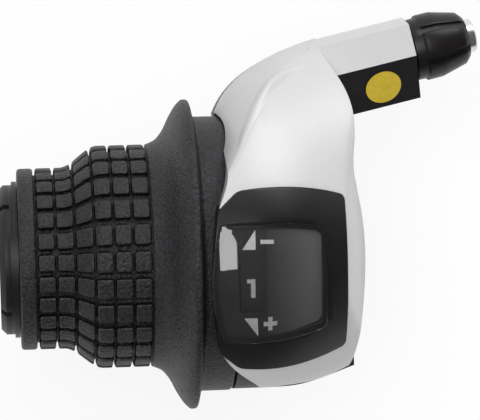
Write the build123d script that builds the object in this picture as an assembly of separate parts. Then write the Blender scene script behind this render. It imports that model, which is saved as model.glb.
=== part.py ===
from build123d import *
import math
import os

# Sizes are millimetres. X runs along the handlebar towards its middle, Y points forward and Z points up
# through the display window. X = 0 is the plane where the rubber collar meets the indicator drum.

# Handlebar, inner sleeve and turning core
BAR_DIAMETER = 22.2
BAR_FIT = 0.05            # radial room of the bore on the bar
SLEEVE_WALL = 1.45
TURNING_FIT = 0.12        # radial room between the fixed sleeve and the turning core
CORE_WALL = 1.5
TURNING_GAP = 0.5         # free room between turning and fixed faces along the bar

# Rubber grip
GRIP_LENGTH = 38.3
END_RING_RADIUS = 16.5
END_RING_WIDTH = 2.9
PALM_RADIUS = 20.3
SWELL_START = 7.8         # from the free end to where the grip starts to swell
SWELL_LENGTH = 7.0
BLOCK_COLUMNS = 6
BLOCK_ROWS = 26
BLOCK_LENGTH = 2.93
BLOCK_HEIGHT = 1.25
BLOCK_GROOVE = 0.45       # groove between two columns
ROW_GROOVE_ANGLE = 3.5    # groove between two rows
FIRST_ROW_ANGLE = -2.1
RING_ROUNDING = 0.6
FLANGE_RADIUS = 28.3
FLANGE_TIP = 7.6          # from the collar plane to the tip of the flange
FLANGE_BACK = 1.4         # from the tip back to the collar
FLANGE_CURVE = ((0.25, 0.10), (0.45, 0.31), (0.63, 0.62), (0.79, 0.85), (0.90, 0.955))
COLLAR_RADIUS = 25.1
COLLAR_SKIN = 1.8         # rubber over the cup of the core
COLLAR_SETBACK = 0.35     # groove between the collar and the indicator drum

# Turning parts behind the rubber
CUP_WALL = 1.6
CUP_CONE_LENGTH = 5.0
CUP_DEPTH = 7.2
INDICATOR_RADIUS = 24.9
INDICATOR_WIDTH = 5.0
INDICATOR_WALL = 1.6
INDICATOR_SPIGOT = 3.0
DRUM_WIDTH = 6.6
DRUM_GROOVE_WIDTH = 2.0
DRUM_LIP = 1.0
DRUM_LIP_RADIUS = 18.6
CABLE_RADIUS = 17.0       # cable centre line on the drum
CABLE_DIAMETER = 1.2
CLICK_DEPTH = 0.9
GEARS = 3
GEAR_STEP = 38.0          # turn of the grip between two gears
LEAF_SEAT = 1.85          # height of the pads in the housing that carry the click spring
LEAF_GAP = 1.0            # between the click spring and the click ring of the drum
LEAF_THICKNESS = 0.5
LEAF_SPAN = 52.0
LEAF_ROOM = 0.25
LEAF_PAD_SPAN = 8.0
KEY_COUNT = 3
KEY_WIDTH = 2.0
KEY_HEIGHT = 0.9
NIPPLE_DIAMETER = 4.6
NIPPLE_ANGLE = 5.0

# Free end of the sleeve
FINGER_LIP = 1.0
FINGER_LENGTH = 2.0
FINGER_SLOT = 1.1
FINGER_SLOT_DEPTH = 6.0
FINGER_COUNT = 4
WASHER_THICKNESS = 1.4
WASHER_STEP = 0.5

# Housing
CHAMBER_WALL = 1.7
HOUSING_RADIUS = 25.05
HOUSING_TAPER_START = 12.5
HOUSING_TAPER_BLEND = 3.0
HOUSING_TAPER = 0.36
HOUSING_END = 22.2
BACK_WALL = 1.6
BACK_WALL_INSET = 4.25    # from the outside of the housing to the edge of the back wall
THRUST_WASHER = 0.6
THRUST_RADIUS = 18.5
SKIRT_WALL = 2.0
PARTING_HEIGHT = 0.9      # parting plane of the cover above the bar axis
PARTING_TILT = 7.0
WEB_BOTTOM = -9.0

# Clamp
CLAMP_RADIUS = 15.2
CLAMP_END = 22.8
CLAMP_SLIT = 2.0
CLAMP_RELIEF = 1.2
EAR_THICKNESS = 4.5
EAR_REACH = 23.5
BOLT_RADIUS = 2.0
BOLT_HEAD_RADIUS = 3.5
BOLT_HEAD_HEIGHT = 3.2
BOLT_FIT = 0.1
NUT_HEIGHT = 3.2
NUT_ACROSS = 7.0
HEX_ACROSS = 3.0
HEX_DEPTH = 2.0
EAR_ROUNDING = 3.0
EAR_CLEAR = 7.0          # room in the skirt beside the ears, for the bolt head and the nut

# Cover shell
COVER_WALL = 1.9
CROWN_RISE = 4.55         # height of the cover over the collar or the drum
CROWN_TAPER_START = 8.0
CROWN_TAPER_BLEND = 4.0
CROWN_TAPER = 0.57
FRONT_REACH = 12.7        # reach of the crown past the collar where it runs into the arm
FRONT_START = 22.0
FRONT_END = 81.0
FRONT_POWER = 1.7
REAR_START = -45.0
REAR_END = -84.0
REAR_STEP = 0.65          # the lower housing shows behind the cover by this much
CROWN_ANGLES = (-98, -80, -62, -45, -25, 0, 22, 40, 56, 70, 82, 92)
CROWN_STATIONS = (-8, -1, 6, 12, 18, 25)
COVER_FLOOR = -14.0
KNEE_HEIGHT = 3.0         # the front wall leans inwards above this height
SHOULDER_HEIGHT = 16.0    # the right wall leans inwards above this height
TOP_ROOM = 0.35           # height of the highest edge over the crown
FRONT_EDGE_LOW = ((-1.7, 0.7), (1.5, 5.7), (9.4, 11.0), (16.9, 13.6))    # Y is counted from the collar
FRONT_EDGE_HIGH = ((-1.7, 12.2), (5.0, 21.0), (14.0, 27.5), (19.3, 23.0))
RIGHT_EDGE_LOW = ((19.8, 30.3), (22.1, 21.7), (21.6, 15), (22.6, 8), (23.2, -2), (22.1, -13.6), (20.4, -27))
RIGHT_EDGE_HIGH = ((18.8, 21), (17.8, 18.5), (15.9, 14), (14.6, 7), (14.3, -2), (14.3, -14), (14.3, -27))
LEFT_EDGE_REAR = ((6, -26.2), (3.3, -23.6), (0.4, -21.6), (-3.5, -17), (-3.3, -5))
LEFT_EDGE_LOW = ((-3.8, 8), (-1.0, 16.5))
LEFT_EDGE_HIGH = ((-3.8, 7.5), (-2.6, 10))
COLLAR_ROOM = 0.5
RIDGE_ROUNDING = 1.5
SHOULDER_ROUNDING = 2.5

# Display window
WINDOW_TILT = 10.4
BEZEL_SINK = 1.5
BEZEL_PROUD = 0.35
LENS_SINK = 0.9
LENS_PROUD = 0.6
MASK_THICKNESS = 0.6
WINDOW_FIT = 0.08
BEZEL_LEDGE = 1.2
MASK_LEDGE = 0.5
BEZEL_CORNERS = ((-3.8, 12.7), (-0.4, 15.75), (19.15, 13.5))
BEZEL_CREST = (8.0, 16.05)
BEZEL_ROUNDINGS = (0.8, 3.0, 1.4)
BEZEL_LEFT = -5.0
LIP_END = -2.6            # the bezel closes the side over the collar with a lip up to here
LENS_CORNERS = ((-3.4, 10.4), (15.3, 9.0))
LENS_CREST = (6.0, 10.55)
LENS_ROUNDINGS = (0.6, 1.6)
LENS_LEFT = -5.25
LENS_ROLL_START = -1.8    # the lens rolls down to its left end from here
LENS_ROLL_DROP = 0.7
NUMBER_LEFT = -0.6
NUMBER_WIDTH = 4.7
NUMBER_HEIGHT = 10.2
NUMBER_ROUNDING = 0.8

# Cable arm and adjuster; the arm section is drawn across its own axis
ARM_END = (34.5, 36.1, -1.0)
ARM_YAW = 12.5
ARM_DROOP = 3.0
ARM_LENGTH = 19.0
ARM_SECTION = (
    (6.2, -5), (6.2, 2.5), (4.6, 6.8), (-1.3, 6.8), (-8.9, 1.3), (-8.9, -6), (-7.0, -8), (4.5, -8),
)
ARM_SPLIT = -1.3
ARM_WALL = 1.5
CORE_FIT = 0.08
CORE_LENGTH = 15.0
CRADLE_WIDTH = 4.4
CRADLE_DEPTH = 6.0
CRADLE_LENGTH = 6.0
NOSE_RADIUS = 3.5
NOSE_LENGTH = 6.0
POCKET_RADIUS = 4.4
POCKET_DEPTH = 4.0
KNOB_GAP = 0.5
KNOB_LENGTH = 10.6
KNOB_RADIUS = 6.15
KNOB_END_RADIUS = 4.9
KNOB_GROOVES = 6
KNOB_GROOVE_WIDTH = 1.3
KNOB_GROOVE_DEPTH = 0.6
KNOB_COLLAR = 1.7
KNOB_COLLAR_STEP = 0.45
KNOB_COLLAR_BEVEL = 0.5
KNOB_FULL_SHARE = 0.45    # share of the length with the full radius
KNOB_END_BEVEL = 1.0
ADJUSTER_RADIUS = 2.5
ADJUSTER_FIT = 0.07
ADJUSTER_INSIDE = 9.0
TIP_RADIUS = 3.1
TIP_PROUD = 1.6
TIP_BEVEL = 0.3
OUTER_CABLE_RADIUS = 2.55
SEAT_DEPTH = 6.0
CABLE_HOLE_RADIUS = 1.0
CLICK_RING_THICKNESS = 1.2
RING_SINK = 0.2           # depth of the click ring in the knob
RING_FIT = 0.15
CLICK_KEY_WIDTH = 1.4
CLICK_KEY_DEPTH = 0.5
SPRING_WIRE = 0.45
SPRING_TURNS = 4
SPRING_WIRE_SIDES = 6     # the hidden wire is drawn with flats
GUIDE_RADIUS = 1.5
GUIDE_BORE = 0.8
GUIDE_BEND = 11.0
GUIDE_LEAD = 12.0         # straight cable between the drum and the guide

# Cover screws
FRONT_SCREW_X = 3.4
FRONT_SCREW_WALL = 0.2    # between the room of the collar and the pad of the front screw
REAR_SCREW_X = 19.2
REAR_SCREW_INSET = 4.5    # from the outside of the housing to the rear screw
ARM_SCREW_X = 19.4
ARM_SCREW_WALL = 2.0      # between the room of the clamp and the pad of the screw by the arm
SCREW_RADIUS = 1.1
SCREW_HEAD_RADIUS = 2.0
SCREW_HEAD_HEIGHT = 1.5
SCREW_REACH = 6.0
SCREW_SEAT = 2.5          # depth of the head in the underside
SCREW_FIT = 0.15
BOSS_RADIUS = 2.2
PAD_RADIUS = 2.8

bore_radius = BAR_DIAMETER / 2 + BAR_FIT
sleeve_radius = bore_radius + SLEEVE_WALL
core_bore = sleeve_radius + TURNING_FIT
core_radius = core_bore + CORE_WALL
turning_radius = max(COLLAR_RADIUS, INDICATOR_RADIUS)
crown_radius = turning_radius + CROWN_RISE
front_radius = turning_radius + FRONT_REACH
top_height = crown_radius + TOP_ROOM
lip_depth = CROWN_RISE - COLLAR_ROOM
front_low = [(x, turning_radius + y) for x, y in FRONT_EDGE_LOW]
right_low = [front_low[-1], *RIGHT_EDGE_LOW]
right_high = [FRONT_EDGE_HIGH[-1], *RIGHT_EDGE_HIGH]
left_low = [*LEFT_EDGE_REAR, *LEFT_EDGE_LOW, front_low[0]]
left_high = [*LEFT_EDGE_REAR, *LEFT_EDGE_HIGH, FRONT_EDGE_HIGH[0]]
cup_radius = COLLAR_RADIUS - COLLAR_SKIN
cup_bore = cup_radius - CUP_WALL
grip_left = -GRIP_LENGTH
block_pitch = BLOCK_LENGTH + BLOCK_GROOVE
block_start = grip_left + END_RING_WIDTH + BLOCK_GROOVE
flange_start = block_start + BLOCK_COLUMNS * block_pitch
chamber_start = INDICATOR_WIDTH + TURNING_GAP
drum_start = chamber_start + TURNING_GAP
drum_end = drum_start + DRUM_WIDTH
click_left = drum_start + 2 * DRUM_LIP + DRUM_GROOVE_WIDTH
chamber_end = drum_end + TURNING_GAP / 2 + THRUST_WASHER
wall_end = chamber_end + BACK_WALL
chamber_radius = HOUSING_RADIUS - CHAMBER_WALL
leaf_radius = chamber_radius - LEAF_SEAT - LEAF_THICKNESS
click_radius = leaf_radius - LEAF_GAP
washer_right = grip_left - TURNING_FIT
washer_left = washer_right - WASHER_THICKNESS
finger_end = washer_left - FINGER_LENGTH
clamp_left = wall_end + CLAMP_RELIEF
bolt_x = (clamp_left + CLAMP_END) / 2
bolt_z = -(CLAMP_RADIUS + EAR_REACH) / 2
ear_face = CLAMP_SLIT / 2 + EAR_THICKNESS
knob_end = KNOB_GAP + KNOB_LENGTH
tip_end = knob_end + TIP_PROUD
ring_start = KNOB_GAP + RING_SINK
ring_end = ring_start + CLICK_RING_THICKNESS
bolt_shoulder = NOSE_LENGTH + RING_FIT


def polar(angle, radius):
    """Point in the Y, Z plane; the angle starts at Z and grows towards Y."""
    turn = math.radians(angle)
    return (radius * math.sin(turn), radius * math.cos(turn))


def smooth_step(value):
    value = min(max(value, 0.0), 1.0)
    return value * value * (3 - 2 * value)


def taper(x, start, blend, slope):
    """Drop in radius that sets in gently at start and then grows with slope."""
    run = x - start
    return slope * (math.hypot(run, blend) + run) / 2


def window_radius(x):
    return crown_radius - taper(x, CROWN_TAPER_START, CROWN_TAPER_BLEND, CROWN_TAPER)


def housing_radius(x):
    return HOUSING_RADIUS - taper(x, HOUSING_TAPER_START, HOUSING_TAPER_BLEND, HOUSING_TAPER)


def cover_radius(x, angle):
    """Outside of the cover: round over the window, down to the housing behind, out to the arm in front."""
    top = window_radius(x)
    if angle > FRONT_START:
        share = (angle - FRONT_START) / (FRONT_END - FRONT_START)
        return top + (front_radius - top) * share ** FRONT_POWER
    rear = min(housing_radius(x), HOUSING_RADIUS - REAR_STEP)
    share = smooth_step((angle - REAR_START) / (REAR_END - REAR_START))
    return top + (rear - top) * share


clamp_room = CLAMP_RADIUS + TURNING_GAP
rear_screw_reach = max(housing_radius(REAR_SCREW_X) - REAR_SCREW_INSET, clamp_room + BOSS_RADIUS)
screw_places = (
    (FRONT_SCREW_X, turning_radius + COLLAR_ROOM + FRONT_SCREW_WALL + PAD_RADIUS),
    (REAR_SCREW_X, -rear_screw_reach),
    (ARM_SCREW_X, clamp_room + ARM_SCREW_WALL + PAD_RADIUS),
)


def grip_radius(x):
    share = smooth_step((x - grip_left - SWELL_START) / SWELL_LENGTH)
    return END_RING_RADIUS + (PALM_RADIUS - END_RING_RADIUS) * share


def rod(radius, start, end):
    """Cylinder along the bar axis."""
    return Pos((start + end) / 2, 0, 0) * Rot(0, 90, 0) * Cylinder(radius, end - start)


def ring(outer, inner, start, end):
    return rod(outer, start, end) - rod(inner, start - 1, end + 1)


def turned(*edges, angle=360):
    """Solid turned about the bar from a closed outline of (x, radius)."""
    return revolve(Plane.XZ * make_face(edges), axis=Axis.X, revolution_arc=angle)


def turned_polygon(points, angle=360):
    return turned(Polyline(*points, close=True), angle=angle)


def around_bar(shape, angle):
    """Turn a shape about the bar so that Z moves towards Y."""
    return Rot(-angle, 0, 0) * shape


def joined(shapes):
    shapes = list(shapes)
    return shapes[0].fuse(*shapes[1:])


def one_solid(shape):
    """Keep the largest body of a cut shape."""
    return max(shape.solids(), key=lambda solid: solid.volume)


parting = Plane(
    origin=(0, 0, PARTING_HEIGHT),
    x_dir=(1, 0, 0),
    z_dir=(0, math.sin(math.radians(PARTING_TILT)), math.cos(math.radians(PARTING_TILT))),
)


def parting_height(y):
    return PARTING_HEIGHT - y * math.tan(math.radians(PARTING_TILT))


def above(shape):
    return split(shape, bisect_by=parting, keep=Keep.TOP)


def below(shape):
    return split(shape, bisect_by=parting, keep=Keep.BOTTOM)


yaw = math.radians(ARM_YAW)
droop = math.radians(ARM_DROOP)
arm_axis = Vector(math.cos(yaw) * math.cos(droop), math.sin(yaw) * math.cos(droop), -math.sin(droop))
arm = Plane(origin=ARM_END, x_dir=(-math.sin(yaw), math.cos(yaw), 0), z_dir=arm_axis)


def arm_rod(radius, start, end):
    """Cylinder on the arm axis; zero is the end face of the arm, plus is outwards."""
    return arm * Pos(0, 0, (start + end) / 2) * Cylinder(radius, end - start)


def arm_turned(points):
    """Solid turned about the arm axis from a closed outline of (radius, distance)."""
    outline = Plane.XZ * make_face(Polyline(*points, close=True))
    return arm * revolve(outline, axis=Axis.Z)


def arm_bar(inset, start, end):
    section = make_face(Polyline(*ARM_SECTION, close=True))
    if inset:
        section = offset(section, amount=-inset, kind=Kind.INTERSECTION)
    return arm * Pos(0, 0, start) * extrude(section, amount=end - start)


def make_rubber():
    floor = []
    for column in range(BLOCK_COLUMNS):
        left = block_start + column * block_pitch
        for x in (left, left + BLOCK_LENGTH):
            floor.append((x, grip_radius(x) - BLOCK_HEIGHT))
    ring_right = grip_left + END_RING_WIDTH
    start = [
        (grip_left, core_radius),
        (grip_left, END_RING_RADIUS - RING_ROUNDING),
        (grip_left + RING_ROUNDING, END_RING_RADIUS),
        (ring_right - RING_ROUNDING / 2, END_RING_RADIUS),
        (ring_right, END_RING_RADIUS - RING_ROUNDING / 2),
        (ring_right, floor[0][1]),
    ]
    end = [(flange_start, floor[-1][1]), (flange_start, PALM_RADIUS)]
    tip = (-FLANGE_TIP, FLANGE_RADIUS)
    width = tip[0] - flange_start
    height = tip[1] - PALM_RADIUS
    sweep_points = [(flange_start + a * width, PALM_RADIUS + b * height) for a, b in FLANGE_CURVE]
    flare = Spline(end[-1], *sweep_points, tip, tangents=((1, 0.15), (1, 0)))
    foot = (tip[0] + FLANGE_BACK, COLLAR_RADIUS)
    lip = Spline(tip, foot, tangents=((1, 0), (0.2, -1)))
    inside = Polyline(
        foot,
        (-COLLAR_SETBACK, COLLAR_RADIUS),
        (-COLLAR_SETBACK, cup_radius),
        (-CUP_DEPTH, cup_radius),
        (-CUP_DEPTH - CUP_CONE_LENGTH, core_radius),
        (grip_left, core_radius),
    )
    body = turned(Polyline(*start, *floor, *end), flare, lip, inside)
    sink = BLOCK_HEIGHT / 4
    row_angle = 360 / BLOCK_ROWS
    row = []
    for column in range(BLOCK_COLUMNS):
        left = block_start + column * block_pitch
        right = left + BLOCK_LENGTH
        low_left = grip_radius(left) - BLOCK_HEIGHT - sink
        low_right = grip_radius(right) - BLOCK_HEIGHT - sink
        outline = (
            (left, low_left),
            (left, grip_radius(left)),
            (right, grip_radius(right)),
            (right, low_right),
        )
        row.append(turned_polygon(outline, angle=row_angle - ROW_GROOVE_ANGLE))
    blocks = []
    centring = (row_angle - ROW_GROOVE_ANGLE) / 2
    for number in range(BLOCK_ROWS):
        angle = FIRST_ROW_ANGLE + number * row_angle
        blocks += [around_bar(Rot(-centring, 0, 0) * block, angle) for block in row]
    return body.fuse(*blocks)


def make_core():
    cone_left = -CUP_DEPTH - CUP_CONE_LENGTH
    inner_left = -CUP_DEPTH + CUP_WALL / 2
    tube = ring(core_radius, core_bore, grip_left, drum_end)
    cup = turned_polygon((
        (cone_left, core_radius - CORE_WALL / 2),
        (cone_left, core_radius),
        (-CUP_DEPTH, cup_radius),
        (0, cup_radius),
        (0, cup_bore),
        (inner_left, cup_bore),
        (inner_left - CUP_CONE_LENGTH / 2, core_radius - CORE_WALL / 2),
    ))
    return joined([tube, cup] + [key_rib(number, 0) for number in range(KEY_COUNT)])


def key_rib(number, room):
    """Rib that carries the drum round with the core."""
    height = KEY_HEIGHT + CORE_WALL / 2 + room
    block = Box(DRUM_WIDTH, KEY_WIDTH + 2 * room, height, align=(Align.MIN, Align.CENTER, Align.MIN))
    return around_bar(Pos(drum_start, 0, core_radius - CORE_WALL / 2) * block, number * 360 / KEY_COUNT)


def make_indicator():
    return turned_polygon((
        (-INDICATOR_SPIGOT, cup_bore - INDICATOR_WALL),
        (-INDICATOR_SPIGOT, cup_bore),
        (0, cup_bore),
        (0, INDICATOR_RADIUS),
        (INDICATOR_WIDTH, INDICATOR_RADIUS),
        (INDICATOR_WIDTH, INDICATOR_RADIUS - INDICATOR_WALL),
        (INDICATOR_WALL, INDICATOR_RADIUS - INDICATOR_WALL),
        (INDICATOR_WALL, cup_bore - INDICATOR_WALL),
    ))


def make_drum():
    groove_floor = CABLE_RADIUS - CABLE_DIAMETER / 2
    groove_left = drum_start + DRUM_LIP
    groove_right = groove_left + DRUM_GROOVE_WIDTH
    drum = turned_polygon((
        (drum_start, core_radius),
        (drum_start, DRUM_LIP_RADIUS),
        (groove_left, DRUM_LIP_RADIUS),
        (groove_left, groove_floor),
        (groove_right, groove_floor),
        (groove_right, DRUM_LIP_RADIUS),
        (click_left, DRUM_LIP_RADIUS),
        (click_left, click_radius),
        (drum_end, click_radius),
        (drum_end, core_radius),
    ))
    for number in range(KEY_COUNT):
        drum -= key_rib(number, 0)
    for gear in range(GEARS):
        notch = Pos(click_left, 0, 0) * extrude(Plane.YZ * click_shape(0), amount=DRUM_WIDTH)
        drum -= around_bar(notch, gear * GEAR_STEP)
    pocket = Pos(groove_left + DRUM_GROOVE_WIDTH / 2, 0, CABLE_RADIUS) * Cylinder(
        NIPPLE_DIAMETER / 2, 2 * (CABLE_RADIUS - core_radius - KEY_HEIGHT / 2)
    )
    return drum - around_bar(pocket, NIPPLE_ANGLE)


def click_shape(room):
    """V of a click notch under the bar, or of the bump that sits in it with a little room."""
    foot = leaf_radius + LEAF_THICKNESS / 2
    peak = click_radius - CLICK_DEPTH + room
    return make_face(Polyline((peak - foot, -foot), (0, -peak), (foot - peak, -foot), close=True))


def make_detent():
    left = click_left + LEAF_ROOM
    right = drum_end - LEAF_ROOM
    strip = band(leaf_radius + LEAF_THICKNESS, leaf_radius, left, right, 180, LEAF_SPAN)
    bump = Pos(left, 0, 0) * extrude(Plane.YZ * click_shape(LEAF_ROOM), amount=right - left)
    return strip + bump


def band(outer, inner, start, end, angle, span):
    """Piece of a ring about the bar, centred on an angle."""
    piece = turned_polygon(((start, inner), (start, outer), (end, outer), (end, inner)), angle=span)
    return around_bar(Rot(-span / 2, 0, 0) * piece, angle)


def edge_loop(front, right, left, inset):
    """Closed outline of the cover seen from above, drawn in by an inset on each side."""
    spans = [(min(values), max(values)) for values in zip(*front_low, *right_low, *left_low)]
    middle = [(a + b) / 2 for a, b in spans]
    shrink = [1 - 2 * inset / (b - a) for a, b in spans]

    def drawn_in(points):
        return [tuple(m + (p - m) * s for p, m, s in zip(point, middle, shrink)) for point in points]

    front, right, left = drawn_in(front), drawn_in(right), drawn_in(left)
    return make_face([Spline(*front), Spline(*right), Line(right[-1], left[0]), Spline(*left)])


def between(low, high, share):
    return [tuple(a + (b - a) * share for a, b in zip(p, q)) for p, q in zip(low, high)]


def make_flank(inset):
    share = (SHOULDER_HEIGHT - KNEE_HEIGHT) / (top_height - KNEE_HEIGHT)
    low = edge_loop(front_low, right_low, left_low, inset)
    front = between(front_low, FRONT_EDGE_HIGH, share)
    left = between(left_low, left_high, share)
    shoulder = edge_loop(front, [front[-1], *RIGHT_EDGE_LOW], left, inset)
    high = edge_loop(FRONT_EDGE_HIGH, right_high, left_high, inset)
    levels = ((COVER_FLOOR, low), (KNEE_HEIGHT, low), (SHOULDER_HEIGHT, shoulder), (top_height, high))
    return loft([Pos(0, 0, height) * outline for height, outline in levels], ruled=True)


def make_crown(inset):
    sections = []
    for x in CROWN_STATIONS:
        top = Spline(*[polar(angle, cover_radius(x, angle) - inset) for angle in CROWN_ANGLES])
        rest = Polyline(top @ 1, ((top @ 1).X, COVER_FLOOR - 1), ((top @ 0).X, COVER_FLOOR - 1), top @ 0)
        sections.append(Plane.YZ.offset(x) * make_face([top, rest]))
    return loft(sections)


def crown_edges(dome):
    """Edges of the dome's top face, each with its middle point."""
    crown = dome.faces().sort_by(Axis.Z)[-1]
    return [(edge, edge @ 0.5) for edge in crown.edges()]


def make_dome():
    """Outside of the cover over the drum, with the ridge in front and the shoulder on the right rounded."""
    dome = one_solid(make_crown(0) & make_flank(0))
    corner = front_low[-1][0]
    shoulder = [edge for edge, mid in crown_edges(dome) if mid.X > corner and abs(mid.Y) < CLAMP_RADIUS]
    dome = dome.fillet(SHOULDER_ROUNDING, shoulder)
    ridge = [edge for edge, mid in crown_edges(dome) if mid.X < corner and mid.Y > FRONT_EDGE_HIGH[0][1]]
    return dome.fillet(RIDGE_ROUNDING, ridge)


def side_of_split(shape):
    """Part of the arm on the cover side of the split line."""
    room = 4 * ARM_LENGTH
    block = Box(room, room, room, align=(Align.MIN, Align.CENTER, Align.CENTER))
    return shape & (arm * Pos(ARM_SPLIT, 0, 0) * block)


def upright(radius, place, bottom, top):
    """Cylinder along Z."""
    return Pos(place[0], place[1], (bottom + top) / 2) * Cylinder(radius, top - bottom)


def mirrored_outline(corners, crest, roundings, left):
    """Outline symmetric about Y = 0: its left side bows to left, its long sides rise to the crest."""
    edges = [ThreePointArc((corners[0][0], -corners[0][1]), (left, 0), corners[0])]
    edges.append(Line(corners[-1], (corners[-1][0], -corners[-1][1])))
    for side in (1, -1):
        points = [(x, side * y) for x, y in corners]
        edges += [Line(a, b) for a, b in zip(points[:-2], points[1:-1])]
        edges.append(ThreePointArc(points[-2], (crest[0], side * crest[1]), points[-1]))
    face = make_face(edges)
    for side in (1, -1):
        for (x, y), radius in zip(corners, roundings):
            corner = face.vertices().sort_by_distance((x, side * y, 0))[0]
            face = fillet(corner, radius)
    return face


def window_prism(outline, room):
    """Outline run out through the window, along the window's own direction."""
    if room:
        outline = offset(outline, amount=room, kind=Kind.INTERSECTION)
    return Rot(WINDOW_TILT, 0, 0) * extrude(outline, amount=2 * crown_radius)


def window_layer(low, high):
    """Shell that follows the crown between two heights over it."""
    under = Spline(*[(x, window_radius(x) + low) for x in CROWN_STATIONS])
    over = Spline(*[(x, window_radius(x) + high) for x in CROWN_STATIONS])
    return turned(under, Line(under @ 1, over @ 1), over, Line(over @ 0, under @ 0))


def lens_roll():
    """Room under a lens that rolls down to its left end."""
    top = window_radius(LENS_ROLL_START) + LENS_PROUD
    start = (LENS_ROLL_START, top)
    end = (LENS_LEFT, top - LENS_ROLL_DROP)
    far = CROWN_STATIONS[-1]
    rest = Polyline(end, (LENS_LEFT, bore_radius), (far, bore_radius), (far, top), start)
    return turned(TangentArc(start, end, tangent=(-1, 0)), rest)


def left_of(x):
    room = 4 * crown_radius
    return Pos(x, 0, 0) * Box(room, room, room, align=(Align.MAX, Align.CENTER, Align.CENTER))


def make_window():
    bezel_outline = mirrored_outline(BEZEL_CORNERS, BEZEL_CREST, BEZEL_ROUNDINGS, BEZEL_LEFT)
    lens_outline = mirrored_outline(LENS_CORNERS, LENS_CREST, LENS_ROUNDINGS, LENS_LEFT)
    number = Pos(NUMBER_LEFT + NUMBER_WIDTH / 2, 0) * RectangleRounded(
        NUMBER_WIDTH, NUMBER_HEIGHT, NUMBER_ROUNDING
    )
    lens = window_layer(-LENS_SINK, LENS_PROUD) & window_prism(lens_outline, 0) & lens_roll()
    bezel = window_layer(-BEZEL_SINK, BEZEL_PROUD) & window_prism(bezel_outline, 0)
    bezel -= window_layer(-LENS_SINK, crown_radius) & window_prism(lens_outline, WINDOW_FIT)
    bezel += window_layer(-lip_depth, -LENS_SINK) & window_prism(bezel_outline, 0) & left_of(LIP_END)
    bezel -= window_prism(lens_outline, -BEZEL_LEDGE)
    mask = window_layer(-BEZEL_SINK - MASK_THICKNESS, -BEZEL_SINK) & window_prism(lens_outline, -MASK_LEDGE)
    mask -= window_prism(number, 0)
    mask -= left_of(LIP_END + WINDOW_FIT) - window_prism(lens_outline, -BEZEL_LEDGE - WINDOW_FIT)
    seat = window_layer(-BEZEL_SINK, crown_radius) & window_prism(bezel_outline, WINDOW_FIT)
    seat += window_layer(-LENS_SINK, crown_radius) & window_prism(lens_outline, WINDOW_FIT)
    seat += window_prism(lens_outline, WINDOW_FIT - MASK_LEDGE)
    seat += window_prism(bezel_outline, WINDOW_FIT) & left_of(LIP_END + WINDOW_FIT)
    return bezel, lens, mask, seat


def make_cover(dome, window_cut):
    far = CROWN_STATIONS[0]
    shell = above(dome + side_of_split(arm_bar(0, -ARM_LENGTH, 0)))
    cavity = make_crown(COVER_WALL) & make_flank(COVER_WALL)
    cavity += rod(turning_radius + COLLAR_ROOM, far, chamber_start)
    cavity += rod(clamp_room, wall_end, CROWN_STATIONS[-1])
    for place in screw_places:
        cavity -= upright(BOSS_RADIUS, place, COVER_FLOOR, top_height)
    cover = shell - cavity - arm_bar(ARM_WALL, -ARM_LENGTH, 1) - window_cut
    for place in screw_places:
        floor = parting_height(place[1])
        cover -= upright(SCREW_RADIUS, place, floor - 1, floor + SCREW_REACH)
    return one_solid(cover)


def make_housing_ring():
    """Lower half of the housing with the drum chamber, the back wall and the skirt around the clamp."""
    stations = [chamber_start + (HOUSING_END - chamber_start) * share / 5 for share in range(6)]
    outside = Spline(*[(x, housing_radius(x)) for x in stations])
    inside = Polyline(
        outside @ 1,
        (HOUSING_END, housing_radius(HOUSING_END) - SKIRT_WALL),
        (wall_end, housing_radius(wall_end) - SKIRT_WALL),
        (wall_end, bore_radius),
        (chamber_end, bore_radius),
        (chamber_end, chamber_radius),
        (chamber_start, chamber_radius),
        outside @ 0,
    )
    return below(turned(outside, inside))


def make_web():
    """Floor in front of the drum that carries the arm, with the pads of the cover screws."""
    plan = edge_loop(front_low, right_low, left_low, 0)
    room = 4 * crown_radius
    slab = Pos(0, 0, WEB_BOTTOM) * extrude(plan, amount=-2 * WEB_BOTTOM)
    slab &= Box(room, room, room, align=(Align.CENTER, Align.MIN, Align.CENTER))
    for place in screw_places:
        slab += upright(PAD_RADIUS, place, WEB_BOTTOM, -WEB_BOTTOM)
    slab -= rod(turning_radius + COLLAR_ROOM, CROWN_STATIONS[0], chamber_start)
    slab -= rod(chamber_radius, chamber_start, chamber_end)
    slab -= rod(CLAMP_RADIUS - TURNING_GAP, chamber_end, CLAMP_END)
    return below(slab)


def make_clamp():
    height = EAR_REACH - bore_radius
    ears = Box(CLAMP_END - clamp_left, 2 * ear_face, height, align=(Align.MIN, Align.CENTER, Align.MIN))
    ears = Pos(clamp_left, 0, -EAR_REACH) * ears
    ears = fillet(ears.edges().filter_by(Axis.Y).group_by(Axis.Z)[0], EAR_ROUNDING)
    return ring(CLAMP_RADIUS, bore_radius, wall_end, CLAMP_END) + ears


def clamp_cuts():
    """Bore, slit, relief behind the clamp and the bolt hole."""
    far = 2 * EAR_REACH
    down = (Align.MIN, Align.CENTER, Align.MAX)
    slit = Pos(wall_end, 0, 0) * Box(far, CLAMP_SLIT, far, align=down)
    relief = ring(clamp_room, bore_radius - 1, wall_end, clamp_left)
    relief &= Pos(wall_end, 0, WEB_BOTTOM) * Box(far, far, far, align=down)
    hole = bolt_rod(BOLT_RADIUS + BOLT_FIT, -far, far)
    return rod(bore_radius, finger_end - 1, CLAMP_END + 1) + slit + relief + hole


def bolt_rod(radius, start, end):
    """Cylinder on the clamp bolt axis, along Y."""
    return Pos(bolt_x, (start + end) / 2, bolt_z) * Rot(90, 0, 0) * Cylinder(radius, end - start)


def bolt_hexagon(across, start, height):
    outline = RegularPolygon(across / 2, 6, major_radius=False)
    return Pos(bolt_x, start, bolt_z) * Rot(-90, 0, 0) * extrude(outline, amount=height)


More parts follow.
